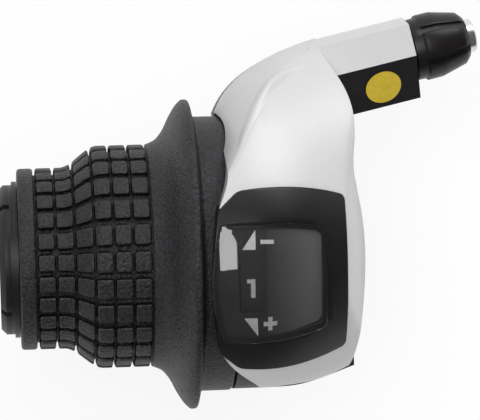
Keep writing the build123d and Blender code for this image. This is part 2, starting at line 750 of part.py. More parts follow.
def make_bolt_and_nut():
    head_top = -ear_face - BOLT_HEAD_HEIGHT
    bolt = bolt_rod(BOLT_HEAD_RADIUS, head_top, -ear_face)
    bolt += bolt_rod(BOLT_RADIUS, -ear_face, ear_face + NUT_HEIGHT + 1)
    bolt -= bolt_hexagon(HEX_ACROSS, head_top, HEX_DEPTH)
    nut = bolt_hexagon(NUT_ACROSS, ear_face, NUT_HEIGHT)
    return bolt, nut - bolt_rod(BOLT_RADIUS, ear_face - 1, ear_face + NUT_HEIGHT + 1)


def make_fingers():
    """Snap lips and slots at the free end of the sleeve."""
    top = sleeve_radius + FINGER_LIP
    lip = turned_polygon((
        (washer_left, bore_radius),
        (washer_left, top),
        (washer_left - FINGER_LENGTH / 2, top),
        (finger_end, sleeve_radius),
        (finger_end, bore_radius),
    ))
    slot = Box(FINGER_SLOT_DEPTH, FINGER_SLOT, 2 * top, align=(Align.MIN, Align.CENTER, Align.MIN))
    step = 360 / FINGER_COUNT
    slots = [around_bar(Pos(finger_end, 0, 0) * slot, step * (n + 0.5)) for n in range(FINGER_COUNT)]
    return lip, joined(slots)


def make_washers():
    slide = turned_polygon((
        (washer_left, sleeve_radius + TURNING_FIT),
        (washer_left, sleeve_radius + FINGER_LIP),
        (washer_left + WASHER_STEP, sleeve_radius + FINGER_LIP),
        (washer_left + WASHER_STEP, core_radius),
        (washer_right, core_radius),
        (washer_right, sleeve_radius + TURNING_FIT),
    ))
    thrust = ring(THRUST_RADIUS, sleeve_radius + TURNING_FIT, chamber_end - THRUST_WASHER, chamber_end)
    return slide, thrust


def guide_path():
    """Cable line: off the drum at a tangent, round a bend and into the arm."""
    x = drum_start + DRUM_LIP + DRUM_GROOVE_WIDTH / 2
    end = Vector(*ARM_END)
    bend = end + arm_axis * ((x - end.X) / arm_axis.X)
    reach = math.hypot(bend.Y, bend.Z)
    angle = math.degrees(math.atan2(bend.Y, bend.Z) - math.acos(CABLE_RADIUS / reach))
    leave = Vector(x, *polar(angle, CABLE_RADIUS))
    run = (bend - leave).normalized()
    start = leave + run * GUIDE_LEAD
    inner = end - arm_axis * (ADJUSTER_INSIDE + 1)
    return Plane(origin=start, z_dir=run), FilletPolyline(start, bend, inner, radius=GUIDE_BEND)


def make_guide():
    section, path = guide_path()
    return sweep(section * Circle(GUIDE_RADIUS), path=path), sweep(section * Circle(GUIDE_BORE), path=path)


def make_arm(dome, guide_space):
    """Black half of the arm, its core under the cover and the nose that holds the adjuster."""
    whole = arm_bar(0, -ARM_LENGTH, 0)
    black = whole - above(side_of_split(whole)) - above(dome)
    core = arm_bar(ARM_WALL + CORE_FIT, -CORE_LENGTH, 0)
    cradle_start = -CORE_LENGTH - CRADLE_LENGTH
    cradle = Box(CRADLE_WIDTH, CRADLE_DEPTH, CRADLE_LENGTH, align=(Align.CENTER, Align.MAX, Align.MIN))
    cradle = arm * Pos(0, 0, cradle_start) * cradle
    body = black + core + cradle + arm_rod(NOSE_RADIUS, -POCKET_DEPTH, NOSE_LENGTH)
    body -= arm_rod(POCKET_RADIUS, -POCKET_DEPTH, 0) - arm_rod(NOSE_RADIUS, -POCKET_DEPTH, 0)
    body -= arm_rod(ADJUSTER_RADIUS + ADJUSTER_FIT, -ADJUSTER_INSIDE - 1, NOSE_LENGTH + 1)
    body -= click_key(0)
    return body - guide_space


def click_key(room):
    """Key of the click ring and its groove along the nose."""
    depth = 2 * (CLICK_KEY_DEPTH - room)
    width = CLICK_KEY_WIDTH - 2 * room
    block = Box(depth, width, NOSE_LENGTH + 1, align=(Align.CENTER, Align.CENTER, Align.MIN))
    return arm * Pos(NOSE_RADIUS, 0, 0) * block


def make_bracket(dome, guide_space):
    lip, slots = make_fingers()
    body = joined([
        ring(sleeve_radius, bore_radius, finger_end, wall_end),
        ring(HOUSING_RADIUS - BACK_WALL_INSET, bore_radius, chamber_end, wall_end),
        make_housing_ring(),
        make_web(),
        lip,
    ])
    width = 2 * (ear_face + EAR_CLEAR)
    opening = Box(CLAMP_END, width, CLAMP_END, align=(Align.MIN, Align.CENTER, Align.MAX))
    body -= Pos(wall_end, 0, -CLAMP_RADIUS) * opening
    body += make_clamp()
    body += make_arm(dome, guide_space)
    for side in (-1, 1):
        angle = 180 + side * (LEAF_SPAN - LEAF_PAD_SPAN) / 2
        foot = leaf_radius + LEAF_THICKNESS
        body += band(chamber_radius + CHAMBER_WALL / 2, foot, click_left, chamber_end, angle, LEAF_PAD_SPAN)
    body -= clamp_cuts() + slots
    for place in screw_places:
        body -= upright(SCREW_RADIUS + SCREW_FIT, place, WEB_BOTTOM - 1, -WEB_BOTTOM)
        body -= upright(SCREW_HEAD_RADIUS + SCREW_FIT, place, WEB_BOTTOM - 1, WEB_BOTTOM + SCREW_SEAT)
    return body


def make_screw(place):
    seat = WEB_BOTTOM + SCREW_SEAT
    shaft = upright(SCREW_RADIUS, place, seat, parting_height(place[1]) + SCREW_REACH)
    return shaft + upright(SCREW_HEAD_RADIUS, place, seat - SCREW_HEAD_HEIGHT, seat)


def make_knob():
    rise = KNOB_GAP + KNOB_COLLAR
    collar_radius = KNOB_RADIUS - KNOB_COLLAR_STEP
    nose_room = NOSE_RADIUS + 2 * RING_FIT

    def outline(sink):
        return [
            (collar_radius, KNOB_GAP),
            (collar_radius, rise),
            (KNOB_RADIUS - sink, rise + KNOB_COLLAR_BEVEL),
            (KNOB_RADIUS - sink, KNOB_GAP + KNOB_LENGTH * KNOB_FULL_SHARE),
            (KNOB_END_RADIUS - sink, knob_end - KNOB_END_BEVEL),
            (KNOB_END_RADIUS - KNOB_END_BEVEL, knob_end),
        ]

    inside = [
        (TIP_RADIUS, knob_end),
        (TIP_RADIUS, bolt_shoulder),
        (nose_room, bolt_shoulder),
        (nose_room, ring_end),
        (POCKET_RADIUS, ring_end),
        (POCKET_RADIUS, KNOB_GAP),
    ]
    knob = arm_turned(outline(0) + inside)
    core = arm_turned(outline(KNOB_GROOVE_DEPTH) + [(0, knob_end), (0, KNOB_GAP)])
    slab = Box(KNOB_RADIUS + 1, KNOB_GROOVE_WIDTH, KNOB_LENGTH, align=(Align.MIN, Align.CENTER, Align.MIN))
    for number in range(KNOB_GROOVES):
        groove = arm * Rot(0, 0, number * 360 / KNOB_GROOVES) * Pos(0, 0, rise) * slab
        knob -= groove - core
    return knob


def make_adjuster_bolt():
    seat = tip_end - SEAT_DEPTH
    return arm_turned([
        (CABLE_HOLE_RADIUS, -ADJUSTER_INSIDE),
        (ADJUSTER_RADIUS, -ADJUSTER_INSIDE),
        (ADJUSTER_RADIUS, bolt_shoulder),
        (TIP_RADIUS, bolt_shoulder),
        (TIP_RADIUS, tip_end - TIP_BEVEL),
        (TIP_RADIUS - TIP_BEVEL, tip_end),
        (OUTER_CABLE_RADIUS, tip_end),
        (OUTER_CABLE_RADIUS, seat),
        (CABLE_HOLE_RADIUS, seat),
    ])


def make_click_ring():
    body = arm_rod(POCKET_RADIUS - RING_FIT, ring_start, ring_end)
    body -= arm_rod(NOSE_RADIUS + RING_FIT, ring_start - 1, ring_end + 1)
    return body + (click_key(RING_FIT) & arm_rod(NOSE_RADIUS + 2 * RING_FIT, ring_start, ring_end))


def make_spring():
    radius = (NOSE_RADIUS + POCKET_RADIUS) / 2
    length = POCKET_DEPTH + ring_start - SPRING_WIRE
    path = Helix(pitch=length / SPRING_TURNS, height=length, radius=radius)
    section = Plane(origin=path @ 0, z_dir=path % 0) * RegularPolygon(SPRING_WIRE / 2, SPRING_WIRE_SIDES)
    wire = sweep(section, path=path)
    return arm * Pos(0, 0, SPRING_WIRE / 2 - POCKET_DEPTH) * wire


os.makedirs("parts", exist_ok=True)
dome = make_dome()
bezel, lens, mask, window_cut = make_window()
guide_outside, guide_inside = make_guide()
clamp_bolt, clamp_nut = make_bolt_and_nut()
slide_washer, thrust_washer = make_washers()
shapes = {
    "bracket": make_bracket(dome, guide_outside),
    "top_cover": make_cover(dome, window_cut),
    "window_bezel": bezel,
    "window_lens": lens,
    "display_mask": mask,
    "slide_washer": slide_washer,
    "thrust_washer": thrust_washer,
    "detent_spring": make_detent(),
    "cable_guide": guide_outside - guide_inside,
    "clamp_bolt": clamp_bolt,
    "clamp_nut": clamp_nut,
    "grip_core": make_core(),
    "indicator_drum": make_indicator(),
    "cable_drum": make_drum(),
    "adjuster_click_ring": make_click_ring(),
    "adjuster_spring": make_spring(),
    "adjuster_knob": make_knob(),
    "adjuster_bolt": make_adjuster_bolt(),
    "grip_rubber": make_rubber(),
}
for number, place in enumerate(screw_places):
    shapes["cover_screw_" + str(number + 1)] = make_screw(place)
for name, shape in shapes.items():
    export_step(shape, "parts/" + name + ".step")
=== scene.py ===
import math

import bmesh
import bpy
from mathutils import Matrix, Vector
from mathutils.bvhtree import BVHTree


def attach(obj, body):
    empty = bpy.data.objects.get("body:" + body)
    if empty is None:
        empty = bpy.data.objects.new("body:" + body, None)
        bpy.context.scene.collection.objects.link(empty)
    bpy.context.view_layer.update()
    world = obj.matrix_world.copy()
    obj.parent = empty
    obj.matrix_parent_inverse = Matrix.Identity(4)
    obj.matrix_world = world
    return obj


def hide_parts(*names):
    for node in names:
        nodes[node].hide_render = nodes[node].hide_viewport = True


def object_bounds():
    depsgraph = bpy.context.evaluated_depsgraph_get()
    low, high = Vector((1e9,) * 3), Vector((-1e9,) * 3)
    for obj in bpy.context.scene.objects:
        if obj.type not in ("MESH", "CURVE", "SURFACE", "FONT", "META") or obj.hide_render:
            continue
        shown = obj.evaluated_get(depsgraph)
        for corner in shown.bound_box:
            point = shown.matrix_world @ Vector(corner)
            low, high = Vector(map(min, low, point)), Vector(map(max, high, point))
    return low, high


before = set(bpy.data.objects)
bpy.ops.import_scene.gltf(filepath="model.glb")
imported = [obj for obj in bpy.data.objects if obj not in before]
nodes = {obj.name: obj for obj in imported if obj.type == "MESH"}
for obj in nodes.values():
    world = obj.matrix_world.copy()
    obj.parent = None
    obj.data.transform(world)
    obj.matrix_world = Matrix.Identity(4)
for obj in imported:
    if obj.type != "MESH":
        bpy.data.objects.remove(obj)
cad_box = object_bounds()
MM = 0.001
DOWN = Vector((0, 0, -1))

# Sizes that the looks share with the solids, in millimetres and degrees.
GRIP_LENGTH = 38.3
END_RING_RADIUS = 16.5
END_RING_WIDTH = 2.9
PALM_RADIUS = 20.3
SWELL_START = 7.8
SWELL_LENGTH = 7.0
BLOCK_COLUMNS = 6
BLOCK_ROWS = 26
BLOCK_LENGTH = 2.93
BLOCK_GROOVE = 0.45
BLOCK_HEIGHT = 1.25
ROW_GROOVE_ANGLE = 3.5
FIRST_ROW_ANGLE = -2.1
CORE_RADIUS = 14.22
CUP_RADIUS = 23.3
CUP_DEPTH = 7.2
CUP_CONE_LENGTH = 5.0
FLANGE_RADIUS = 28.3
FLANGE_TIP = 7.6
FLANGE_BACK = 1.4
FLANGE_CURVE = ((0.25, 0.10), (0.45, 0.31), (0.63, 0.62), (0.79, 0.85), (0.90, 0.955))
COLLAR_RADIUS = 25.1
COLLAR_SETBACK = 0.35
INDICATOR_RADIUS = 24.9
GEAR_STEP = 38.0
WINDOW_TILT = -10.4
CROWN_RADIUS = 29.65
CROWN_FALL_START = 8.0
CROWN_FALL = 0.57
CROWN_FALL_ROUNDING = 4.0
ARM_END = Vector((34.5, 36.1, -1.0))
ARM_YAW = 12.5
ARM_DROOP = 3.0
ARM_FACE_TOP = (-1.3, 6.8)
ARM_FACE_FOOT = (-8.9, 1.3)

# Rounding of the rubber skin, the least length of a side in roundings, and where the points of the skin
# lie near the edges and inside of a block.
SKIN_ROUNDING = 0.7
SIDE_TO_ROUNDING = 2.2
TIP_START = 0.3
TIP_END = 0.75
FLARE_STEPS = 6
BLOCK_CORNER = 0.5
BLOCK_EDGE = 0.3
BLOCK_FOOT = 0.06
BLOCK_EDGE_POWER = 2.6
EDGE_STEPS = (BLOCK_FOOT, 0.0, -0.05, -0.12, -0.22, -0.36)
INNER_ALONG = (0.55, 0.18)
INNER_ROUND = (0.6, 0.3)

# Painted light on the rubber by the share of a block's height, and the name of its point attribute: painted
# shade in the grooves and on the block walls, a painted highlight on the block rims.
PAINTED_LIGHT = "painted_light"
NO_PAINTED_LIGHT = 1.0
# The groove and wall values are painted shade, and the rim value is a painted highlight.
GROOVE_SHADE = 0.42
WALL_SHADE = 0.1
RIM_HIGHLIGHT = 2.8
TOP_PAINTED_LIGHT = 0.95
WALL_SHARE = 0.8
RIM_SHARE = 0.97

# Crest on the shoulder of the cover, seen from above, from the arm down to the window.
CREST_LINE = (
    (15.5, 34.3), (11.2, 32.6), (8.55, 30.8), (6.5, 29.0), (3.6, 24.9), (1.2, 20.1), (-0.4, 16.0),
)
CREST_HALF_WIDTH = 1.4
CREST_HEIGHT = 0.9
CREST_END_WIDTH = 0.45
CREST_FADE_IN = 2.5
CREST_FADE_OUT = 1.6
CREST_STEPS = 8
CREST_SIDE_STEPS = 8
CREST_EVENING = 12
CREST_SINK = 0.04
CREST_ROOT = 0.3
ABOVE_COVER = 60

# Prints. On the mask a corner is its place along the bar and its angle forward of the top.
PRINT_DEPTH = 0.04
PRINT_GAP = 0.02
MASK_FIELD = 0.8
PANEL = (
    (4.4, 9.4), (9.0, 9.3), (13.3, 8.7), (14.2, 7.0),
    (14.2, -26.2), (13.4, -28.4), (9.0, -29.6), (4.4, -30.4),
)
PANEL_DARK_X = 4.4
PANEL_LIGHT_X = 12.0
MARK_UP = ((0.12, 1.75), (2.42, 1.7), (2.5, 8.8))
MARK_DOWN = ((0.29, -22.95), (2.75, -30.2), (2.6, -23.15))
MARK_MINUS = ((3.3, 3.7), (5.6, 3.6), (5.6, 5.05), (3.3, 5.15))
PLUS_MIDDLE = (4.82, -25.6)
PLUS_HALF = (1.16, 2.65)
PLUS_ARM = (0.36, 0.82)
DIGIT_FIELD = 0.3
DIGIT_MIDDLE_X = 1.8
DIGIT_FOOT_ANGLE = -7.1
DIGITS = (
    ((0.68, 0), (1.44, 0), (1.44, 3.3), (0, 3.3), (0, 2.6), (0.68, 2.6)),
    ((0, 0), (2, 0), (2, 0.7), (0.76, 0.7), (0.76, 1.3), (2, 1.3), (2, 3.3), (0, 3.3), (0, 2.6), (1.24, 2.6),
     (1.24, 2.0), (0, 2.0)),
    ((0, 0), (2, 0), (2, 3.3), (0, 3.3), (0, 2.6), (1.24, 2.6), (1.24, 2.0), (0.3, 2.0), (0.3, 1.3),
     (1.24, 1.3), (1.24, 0.7), (0, 0.7)),
)

# Round sticker on the black face of the arm, set from the top end of the face.
DOT_ALONG = -6.8
DOT_DOWN = 5.0
DOT_RADIUS = 3.36
DOT_DEPTH = 0.07
DOT_BORDER_RADIUS = 3.52
DOT_BORDER_DEPTH = 0.04
DOT_GAP = 0.01
DOT_CORNERS = 72

# Reach in millimetres within which a cut or a weld takes two points of a print as one.
CUT_REACH = 1e-4
JOIN_REACH = 1e-3

# CAD nodes whose sharp edges are rounded for the picture: width in millimetres and segments.
SOFT_EDGES = {
    "top_cover": (0.3, 3),
    "window_bezel": (0.22, 2),
    "window_lens": (0.18, 2),
    "bracket": (0.2, 2),
    "adjuster_knob": (0.22, 2),
    "adjuster_bolt": (0.1, 2),
}
SOFT_ANGLE = 35
WELD_REACH_M = 1e-6
CLOSING_REACH_M = 1e-7

# Stage, light and camera, in metres and watts, apart from the camera's place and aim in millimetres.
FLOOR_HALF = 4.0
FLOOR_DROP = 0.012
FLOOR_COLOR = (0.9, 0.9, 0.9)
FLOOR_DARK = (0.89, 0.89, 0.89)
FLOOR_LIGHT = (0.91, 0.91, 0.91)
FLOOR_GLOW = 1.05
FLOOR_GLOW_SHARE = 0.82
AMBIENT = 0.25
CEILING = 0.12
CEILING_SIDE = (0.35, -0.5, 1.0)
CEILING_START = 0.1
CEILING_FULL = 0.6
LAMPS = {
    "key": ((-0.18, 0.11, 0.98), (0.46, 0.62), 4.7),
    "front": ((0.42, 0.76, 0.5), (0.6, 0.4), 3.6),
}
PHOTO_WIDTH = 480
FOCAL_PIXELS = 2801
SENSOR_WIDTH = 36.0
CAMERA_NEAR = 0.01
CAMERA_PLACE = Vector((-42.5, 9.15, 512.0))
CAMERA_AIM = Vector((2.43, 7.74, 0.0))
CAMERA_RIGHT = (0.9995, -0.0314, 0.0)


def smooth_step(value):
    value = min(max(value, 0.0), 1.0)
    return value * value * (3 - 2 * value)


def window_radius(x):
    """Outside of the cover over the window."""
    run = x - CROWN_FALL_START
    return CROWN_RADIUS - CROWN_FALL * (math.hypot(run, CROWN_FALL_ROUNDING) + run) / 2


def on_bar(x, angle, radius):
    """Point round the bar in metres; the angle starts at Z and grows towards Y."""
    turn = math.radians(angle)
    return Vector((x, radius * math.sin(turn), radius * math.cos(turn))) * MM


# Materials

class Shader:
    """A Principled material with a few short ways to add textures in object space."""

    def __init__(self, name, color, roughness, metallic=0.0):
        self.material = bpy.data.materials.new(name)
        self.material.use_nodes = True
        self.tree = self.material.node_tree
        self.shader = self.tree.nodes["Principled BSDF"]
        self.set("Base Color", (*color, 1.0))
        self.set("Roughness", roughness)
        self.set("Metallic", metallic)
        self.coordinates = self.tree.nodes.new("ShaderNodeTexCoord").outputs["Object"]

    def set(self, socket, value):
        self.shader.inputs[socket].default_value = value

    def link(self, start, end):
        self.tree.links.new(start, end)

    def scaled(self, size_mm):
        """Coordinates that count in steps of size_mm."""
        mapping = self.tree.nodes.new("ShaderNodeMapping")
        mapping.inputs["Scale"].default_value = [1 / (size_mm * MM)] * 3
        self.link(self.coordinates, mapping.inputs["Vector"])
        return mapping.outputs["Vector"]

    def noise(self, size_mm, detail=3.0, roughness=0.55):
        """Noise with features of about size_mm."""
        texture = self.tree.nodes.new("ShaderNodeTexNoise")
        texture.inputs["Scale"].default_value = 1.0
        texture.inputs["Detail"].default_value = detail
        texture.inputs["Roughness"].default_value = roughness
        self.link(self.scaled(size_mm), texture.inputs["Vector"])
        return texture.outputs["Fac"]

    def cells(self, size_mm):
        """Rounded cells, as in a moulded leather grain."""
        texture = self.tree.nodes.new("ShaderNodeTexVoronoi")
        texture.feature = "SMOOTH_F1"
        texture.inputs["Scale"].default_value = 1.0
        texture.inputs["Smoothness"].default_value = 0.6
        self.link(self.scaled(size_mm), texture.inputs["Vector"])
        return texture.outputs["Distance"]

    def ramp(self, value, low, high, start=0.3, end=0.7):
        node = self.tree.nodes.new("ShaderNodeValToRGB")
        node.color_ramp.elements[0].position = start
        node.color_ramp.elements[1].position = end
        node.color_ramp.elements[0].color = (*low, 1.0)
        node.color_ramp.elements[1].color = (*high, 1.0)
        self.link(value, node.inputs["Fac"])
        return node.outputs["Color"]

    def vary_color(self, value, low, high, start=0.3, end=0.7):
        self.link(self.ramp(value, low, high, start, end), self.shader.inputs["Base Color"])

    def vary_roughness(self, value, low, high):
        node = self.tree.nodes.new("ShaderNodeMapRange")
        node.inputs["To Min"].default_value = low
        node.inputs["To Max"].default_value = high
        self.link(value, node.inputs["Value"])
        self.link(node.outputs["Result"], self.shader.inputs["Roughness"])

    def bump(self, layers):
        """Stack of (texture, strength, height in mm) bumps."""
        normal = None
        for value, strength, height in layers:
            node = self.tree.nodes.new("ShaderNodeBump")
            node.inputs["Strength"].default_value = strength
            node.inputs["Distance"].default_value = height * MM
            self.link(value, node.inputs["Height"])
            if normal is not None:
                self.link(normal, node.inputs["Normal"])
            normal = node.outputs["Normal"]
        self.link(normal, self.shader.inputs["Normal"])


def tone(color, factor):
    return tuple(channel * factor for channel in color)


def plastic(name, color, roughness, grain_mm=0.25, grain=0.25, spread=0.18):
    """Moulded plastic with a fine spark-eroded grain and slightly uneven gloss."""
    made = Shader(name, color, roughness)
    made.vary_color(made.noise(6.0), tone(color, 1 - spread), tone(color, 1 + spread))
    made.vary_roughness(made.noise(2.5), roughness - 0.06, roughness + 0.08)
    made.bump([(made.noise(grain_mm, 2.0), grain, 0.03)])
    made.set("Specular IOR Level", 0.3)
    return made.material


def metal(name, color, roughness):
    """Plated metal with slightly uneven gloss."""
    made = Shader(name, color, roughness, 1.0)
    made.vary_color(made.noise(2.0), tone(color, 0.92), tone(color, 1.05))
    made.vary_roughness(made.noise(0.4), roughness * 0.7, roughness * 1.4)
    made.bump([(made.noise(0.15), 0.08, 0.01)])
    return made.material


def rubber_material():
    """Dark rubber with a leather grain; a point attribute of the mesh paints shade into the grooves and on
    the block walls and a highlight on the block rims.
    """
    color = (0.027, 0.025, 0.028)
    made = Shader("grip rubber", color, 0.6)
    grain = made.ramp(made.noise(0.55, 5.0, 0.7), tone(color, 0.5), tone(color, 1.5), 0.38, 0.62)
    # The point attribute scales the grain colour: painted shade in the grooves and on the walls, a painted
    # highlight on the rims.
    painted_light_attribute = made.tree.nodes.new("ShaderNodeAttribute")
    painted_light_attribute.attribute_name = PAINTED_LIGHT
    mixed = made.tree.nodes.new("ShaderNodeVectorMath")
    mixed.operation = "SCALE"
    made.link(grain, mixed.inputs[0])
    made.link(painted_light_attribute.outputs["Fac"], mixed.inputs["Scale"])
    made.link(mixed.outputs["Vector"], made.shader.inputs["Base Color"])
    made.vary_roughness(made.noise(1.4), 0.4, 0.58)
    made.bump([
        (made.noise(4.0), 0.12, 0.1),
        (made.cells(0.45), 0.9, 0.16),
        (made.noise(0.16, 2.0), 0.4, 0.05),
    ])
    made.set("Specular IOR Level", 0.27)
    return made.material


def silver_material():
    """Satin silver lacquer with a very fine flake."""
    color = (0.74, 0.74, 0.75)
    made = Shader("silver lacquer", color, 0.4, 0.06)
    made.vary_color(made.noise(0.12, 2.0), tone(color, 0.93), tone(color, 1.06))
    made.vary_roughness(made.noise(3.0), 0.37, 0.45)
    made.bump([(made.noise(1.6), 0.05, 0.03), (made.noise(0.12, 2.0), 0.05, 0.01)])
    made.set("Coat Weight", 0.05)
    made.set("Coat Roughness", 0.2)
    return made.material


def lens_material():
    """Clear polished plastic; the coat carries the glare of the soft box."""
    made = Shader("window lens", (0.985, 0.985, 0.985), 0.03)
    made.vary_roughness(made.noise(5.0), 0.015, 0.05)
    made.bump([(made.noise(9.0), 0.01, 0.05)])
    made.set("Transmission Weight", 1.0)
    made.set("IOR", 1.49)
    made.set("Coat Weight", 0.9)
    made.set("Coat Roughness", 0.03)
    return made.material


def panel_material():
    """Printed panel that grows lighter away from the number."""
    color = (0.16, 0.16, 0.16)
    made = Shader("mask panel", color, 0.5)
    apart = made.tree.nodes.new("ShaderNodeSeparateXYZ")
    made.link(made.coordinates, apart.inputs["Vector"])
    run = made.tree.nodes.new("ShaderNodeMapRange")
    run.inputs["From Min"].default_value = PANEL_DARK_X * MM
    run.inputs["From Max"].default_value = PANEL_LIGHT_X * MM
    made.link(apart.outputs["X"], run.inputs["Value"])
    made.vary_color(run.outputs["Result"], tone(color, 0.13), tone(color, 1.15), 0.0, 1.0)
    made.vary_roughness(made.noise(2.0), 0.45, 0.6)
    made.bump([(made.noise(0.3), 0.1, 0.01)])
    return made.material


def paint_material(name, color, roughness):
    """Flat printed paint with a little unevenness."""
    made = Shader(name, color, roughness)
    made.vary_color(made.noise(1.2), tone(color, 0.9), tone(color, 1.04))
    made.bump([(made.noise(0.2), 0.1, 0.01)])
    return made.material


black = plastic("black moulding", (0.014, 0.0125, 0.015), 0.46)
drum_black = plastic("drum moulding", (0.028, 0.025, 0.028), 0.52)
bezel_black = plastic("bezel moulding", (0.010, 0.0095, 0.011), 0.36, grain_mm=0.28, grain=0.4)
mask_grey = plastic("mask plate", (0.017, 0.017, 0.017), 0.5, grain=0.1)
panel_grey = panel_material()
knob_black = plastic("knob moulding", (0.011, 0.009, 0.010), 0.34, grain=0.12)
washer_black = plastic("washer moulding", (0.020, 0.018, 0.019), 0.4, grain=0.1)
pale = plastic("pale moulding", (0.56, 0.55, 0.52), 0.42, grain=0.12, spread=0.06)
steel = metal("zinc steel", (0.55, 0.55, 0.56), 0.36)
bright = metal("bright plating", (0.72, 0.72, 0.73), 0.22)
rubber = rubber_material()
silver = silver_material()
lens = lens_material()
print_white = paint_material("light print", (0.92, 0.92, 0.92), 0.5)
sticker_yellow = paint_material("sticker yellow", (0.84, 0.62, 0.05), 0.42)

# The nodes that are not named here are steel.
finish = {
    "bracket": black,
    "grip_core": black,
    "top_cover": silver,
    "window_bezel": bezel_black,
    "window_lens": lens,
    "display_mask": mask_grey,
    "slide_washer": washer_black,
    "thrust_washer": pale,
    "cable_guide": pale,
    "cable_drum": pale,
    "adjuster_click_ring": pale,
    "indicator_drum": drum_black,
    "grip_rubber": rubber,
    "adjuster_knob": knob_black,
    "adjuster_bolt": bright,
}
for name, node in nodes.items():
    node.data.materials.clear()
    node.data.materials.append(finish.get(name, steel))


def soften(name, width_mm, segments):
    """Weld the imported facets, round the sharp edges of a CAD node and close what the rounding leaves."""
    node = nodes[name]
    weld = node.modifiers.new("weld", "WELD")
    weld.merge_threshold = WELD_REACH_M
    bevel = node.modifiers.new("edges", "BEVEL")
    bevel.width = width_mm * MM
    bevel.segments = segments
    bevel.limit_method = "ANGLE"
    bevel.angle_limit = math.radians(SOFT_ANGLE)
    bevel.harden_normals = False
    bevel.use_clamp_overlap = True
    closing = node.modifiers.new("closing", "WELD")
    closing.merge_threshold = CLOSING_REACH_M


def surface_of(name):
    """Surface of a CAD node that rays can be cast on."""
    return BVHTree.FromObject(nodes[name], bpy.context.evaluated_depsgraph_get())


# Lines

def spread_steps(half, edges, inner):
    """Samples across one block, close together near its edges."""
    steps = [half + edge for edge in edges] + [half * share for share in inner]
    steps.sort()
    return [-step for step in reversed(steps)] + steps


def catmull(points, steps):
    """Smooth line through points."""
    line = []
    ends = [points[0]] + list(points) + [points[-1]]
    for i in range(len(points) - 1):
        a, b, c, d = (Vector(ends[i + k]) for k in range(4))
        for step in range(steps):
            t = step / steps
            line.append(
                0.5 * ((2 * b) + (c - a) * t + (2 * a - 5 * b + 4 * c - d) * t ** 2
                       + (3 * b - a - 3 * c + d) * t ** 3)
            )
    line.append(Vector(points[-1]))
    return line


def rounded_path(points, rounding, steps=4):
    """Polyline with its inner corners rounded by short curves."""
    line = [Vector(points[0])]
    for before, here, after in zip(points, points[1:], points[2:]):
        before, here, after = Vector(before), Vector(here), Vector(after)
        shorter = min((before - here).length, (after - here).length)
        r = min(rounding, shorter / SIDE_TO_ROUNDING)
        start = here + (before - here).normalized() * r
        end = here + (after - here).normalized() * r
        for step in range(steps + 1):
            t = step / steps
            line.append(start.lerp(here, t).lerp(here.lerp(end, t), t))
    line.append(Vector(points[-1]))
    return line


def evened(points, passes):
    """Line with its inner points drawn towards their neighbours."""
    line = list(points)
    for _ in range(passes):
        inner = [(a + 2 * b + c) / 4 for a, b, c in zip(line, line[1:], line[2:])]
        line = [line[0]] + inner + [line[-1]]
    return line


def plus_outline(middle, half, arm):
    """Twelve corners of a plus sign."""
    left = [(-half[0], -arm[1]), (-arm[0], -arm[1]), (-arm[0], -half[1])]
    lower = left + [(-u, v) for u, v in reversed(left)]
    upper = [(-u, -v) for u, v in lower]
    return [(middle[0] + u, middle[1] + v) for u, v in lower + upper]


# Pieces

def add_piece(name, mesh, material, body):
    mesh.materials.append(material)
    piece = bpy.data.objects.new(name, mesh)
    bpy.context.scene.collection.objects.link(piece)
    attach(piece, body)
    return piece


def add_smooth(name, points, faces, material, body):
    """Piece with smooth shading from points in metres."""
    mesh = bpy.data.meshes.new(name)
    mesh.from_pydata([tuple(p) for p in points], [], faces)
    mesh.update()
    for polygon in mesh.polygons:
        polygon.use_smooth = True
    return add_piece(name, mesh, material, body)


def grip_radius(x):
    """Outside of the rubber under the palm, without the flange."""
    share = smooth_step((x + GRIP_LENGTH - SWELL_START) / SWELL_LENGTH)
    return END_RING_RADIUS + (PALM_RADIUS - END_RING_RADIUS) * share


def block_height(u, v, half_u, half_v):
    """Height of a rounded block over the groove floor; u and v start at its middle, in millimetres."""
    du = abs(u) - half_u + BLOCK_CORNER
    dv = abs(v) - half_v + BLOCK_CORNER
    outside = math.hypot(max(du, 0), max(dv, 0)) + min(max(du, dv), 0) - BLOCK_CORNER
    if outside >= BLOCK_FOOT:
        return 0.0
    if outside <= -BLOCK_EDGE:
        return BLOCK_HEIGHT
    share = (BLOCK_FOOT - outside) / (BLOCK_EDGE + BLOCK_FOOT)
    return BLOCK_HEIGHT * math.sqrt(1 - (1 - share) ** BLOCK_EDGE_POWER)


def block_painted_light(share):
    """Painted light over a block: painted shade greys the groove and blackens the walls, and a painted
    highlight makes the rim pale.
    """
    if share <= 0.0:
        return GROOVE_SHADE
    if share < WALL_SHARE:
        return WALL_SHADE
    if share < RIM_SHARE:
        return RIM_HIGHLIGHT
    return TOP_PAINTED_LIGHT


